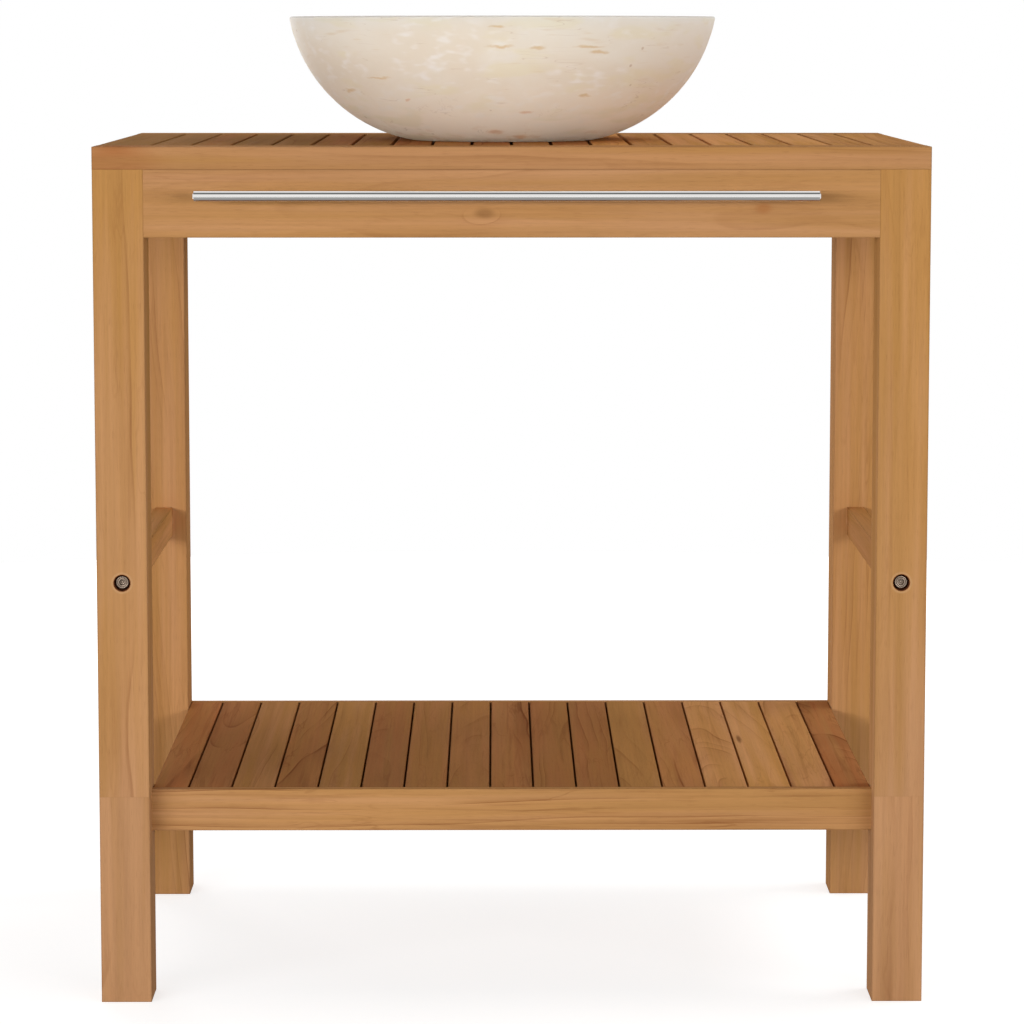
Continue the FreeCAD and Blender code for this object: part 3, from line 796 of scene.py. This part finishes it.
def paint_basin():
    """Paints the basin as cream marble with pale flecks, ochre dashes, hairlines and specks."""
    low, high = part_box("basin")
    half = (high - low) / 2
    material, g = new_material("cream_marble")
    place = g.vector("SUBTRACT", g.own_place(), tuple((low + high) / 2))
    height = g.math("DIVIDE", g.split(place)[2], half.z)
    radius_share = g.math("DIVIDE", g.reach(place, (1.0, 1.0, 0.0)), half.x)
    low_down = g.step(height, *low_heights)
    cloud = g.noise(place, *marble_noise["cloud"])
    hair, crook = marble_lines(g, place, low_down)
    speck = marble_specks(g, place)
    # Painted shade: a grey line at the rim's outer edge
    rim = g.times(g.step(height, *rim_shade_heights), g.step(radius_share, *rim_shade_radius_shares))
    colour = marble_flecks(g, place, height, marble_ground(g, cloud, low_down))
    colour = g.mix(g.times(g.math("MAXIMUM", hair, crook), line_share), colour, marble_brown)
    colour = g.mix(g.times(marble_stains(g, place, height), rust_share), colour, marble_rust)
    colour = g.mix(g.times(speck, speck_share), colour, marble_brown)
    colour = g.mix(g.times(rim, rim_shade_share), colour, marble_rim_shade)
    rough = g.plus(g.math("MAXIMUM", hair, speck), line_rough, g.plus(cloud, *cloud_rough))
    pits = g.plus(speck, speck_height, g.times(cloud, cloud_height))
    g.surface(
        Base_Color=colour,
        Roughness=rough,
        Specular_IOR_Level=marble_gloss,
        Subsurface_Weight=1.0,
        Subsurface_Scale=1.0,
        Subsurface_Radius=marble_spread,
        Normal=g.relief(pits, *marble_relief),
    )
    paint(material, "basin")


def paint_steel():
    """Paints the towel bar and its posts as steel brushed along the bar."""
    material, g = new_material("brushed_steel")
    place = g.own_place()
    brush = g.noise(place, *steel_brush)
    smear = g.noise(place, *steel_smear)
    colour = g.mix(g.step(brush, *steel_edge), steel_dark, steel_light)
    rough = g.plus(brush, steel_brush_rough, g.plus(smear, *steel_smear_rough))
    g.surface(Base_Color=colour, Metallic=1.0, Roughness=rough, Normal=g.relief(brush, *steel_relief))
    paint(material, "towel_bar", "towel_bar_posts")


def paint_fasteners():
    """Paints the bolts and barrel nuts as dull plated steel with turned rings."""
    material, g = new_material("plated_steel")
    place = g.own_place()
    turned = g.math("SINE", g.times(bolt_radius(g), plate_turning))
    stains = g.noise(place, *plate_stains)
    colour = g.mix(g.step(turned, *plate_edge), plate_dark, plate_light)
    colour = g.mix(g.step(stains, *plate_stain_edge), colour, plate_stained)
    rough = g.plus(stains, *plate_rough)
    g.surface(Base_Color=colour, Metallic=1.0, Roughness=rough, Normal=g.relief(turned, *plate_relief))
    paint(material, "frame_bolts", "barrel_nuts")


def paint_chrome():
    """Paints the waste and its plug as chrome with faint wipe marks."""
    material, g = new_material("chrome")
    place = g.own_place()
    smear = g.noise(place, *chrome_smear)
    fine = g.noise(place, *chrome_fine)
    colour = g.mix(smear, chrome_dark, chrome_light)
    rough = g.plus(smear, chrome_smear_rough, g.plus(fine, *chrome_fine_rough))
    g.surface(Base_Color=colour, Metallic=1.0, Roughness=rough, Normal=g.relief(fine, *chrome_relief))
    paint(material, "waste_body", "waste_plug", "waste_back_nut")


def paint_rubber():
    """Paints the gaskets as black rubber with a little dust."""
    material, g = new_material("black_rubber")
    place = g.own_place()
    dust = g.noise(place, *rubber_dust)
    grain = g.noise(place, *rubber_grain)
    colour = g.mix(g.step(dust, *rubber_edge), rubber_black, rubber_grey)
    rough = g.plus(dust, *rubber_rough)
    g.surface(Base_Color=colour, Roughness=rough, Normal=g.relief(grain, *rubber_relief))
    paint(material, "waste_gaskets")


def seen_rays(g):
    """One for rays of the camera, metal and glass, and zero for those that only light a surface."""
    light_path = g.node("LightPath").outputs
    seen = g.math("MAXIMUM", light_path["Is Camera Ray"], light_path["Is Glossy Ray"])
    return g.math("MAXIMUM", seen, light_path["Is Transmission Ray"])


def matt_grey(g, albedo):
    """A matt grey shader."""
    return g.node("BsdfDiffuse", (albedo, albedo, albedo, 1.0)).outputs[0]


def add_floor():
    """A round pale floor that fades to white for the camera and keeps the shadow of the object."""
    bpy.ops.mesh.primitive_circle_add(vertices=floor_sides, radius=floor_radius, fill_type="NGON")
    floor = bpy.context.object
    floor.name = "floor"
    material, g = new_material("pale_floor")
    way = g.vector("LENGTH", g.own_place())
    fade = g.step(way, *floor_fade, floor_glow, 1.0)
    glow = g.filled("Emission", Strength=g.times(fade, seen_rays(g)))
    both = g.node("AddShader", matt_grey(g, floor_albedo), glow.outputs[0])
    g.node("OutputMaterial", both.outputs[0])
    floor.data.materials.append(material)


def add_card():
    """A grey card that only reflections show, which gives the towel bar its dark lower edge."""
    bpy.ops.mesh.primitive_plane_add(size=1.0, location=card_place)
    card = bpy.context.object
    card.name = "grey_card"
    card.scale = (card_width, card_depth, 1.0)
    material, g = new_material("grey_card")
    g.node("OutputMaterial", matt_grey(g, card_albedo))
    card.data.materials.append(material)
    card.visible_camera = False
    card.visible_diffuse = False
    card.visible_transmission = False
    card.visible_shadow = False


def add_world():
    """A weak light all round, which the camera, metal and glass see as white with a dark gap."""
    world = bpy.data.worlds.new("studio")
    world.use_nodes = True
    bpy.context.scene.world = world
    g = Graph(world.node_tree)
    _, depth, height = g.split(g.node("TexCoord").outputs["Generated"])
    off_gap = g.math("ABSOLUTE", g.math("SUBTRACT", height, gap_height))
    gap = g.times(g.step(off_gap, gap_half_width, 0.0), g.step(depth, 0.0, gap_front))
    brightness = g.plus(gap, -gap_darkness, 1.0)
    strength = g.step(seen_rays(g), 0.0, 1.0, world_light, 1.0)
    background = g.filled("Background", Color=world_white, Strength=g.times(brightness, strength))
    g.node("OutputWorld", background.outputs[0])


def add_lamp(name, place, width, height, power):
    """A soft lamp that is aimed at the object."""
    data = bpy.data.lights.new(name, "AREA")
    data.shape = "RECTANGLE"
    data.size = width
    data.size_y = height
    data.energy = power
    lamp = bpy.data.objects.new(name, data)
    bpy.context.scene.collection.objects.link(lamp)
    lamp.location = place
    lamp.rotation_euler = (Vector(lamp_target) - Vector(place)).to_track_quat("-Z", "Y").to_euler()
    lamp.visible_camera = False


def add_camera():
    """The camera at the photograph's place."""
    data = bpy.data.cameras.new("camera")
    data.lens = camera_lens
    data.shift_y = camera_shift
    camera = bpy.data.objects.new("camera", data)
    bpy.context.scene.collection.objects.link(camera)
    camera.location = camera_place
    camera.rotation_euler = (math.radians(right_angle - camera_pitch), 0.0, math.radians(-camera_turn))
    bpy.context.scene.camera = camera


paint_wood()
paint_basin()
paint_steel()
paint_fasteners()
paint_chrome()
paint_rubber()
add_floor()
add_card()
add_world()
for lamp in lamps:
    add_lamp(*lamp)
add_camera()
bpy.context.scene.view_settings.view_transform = "Standard"
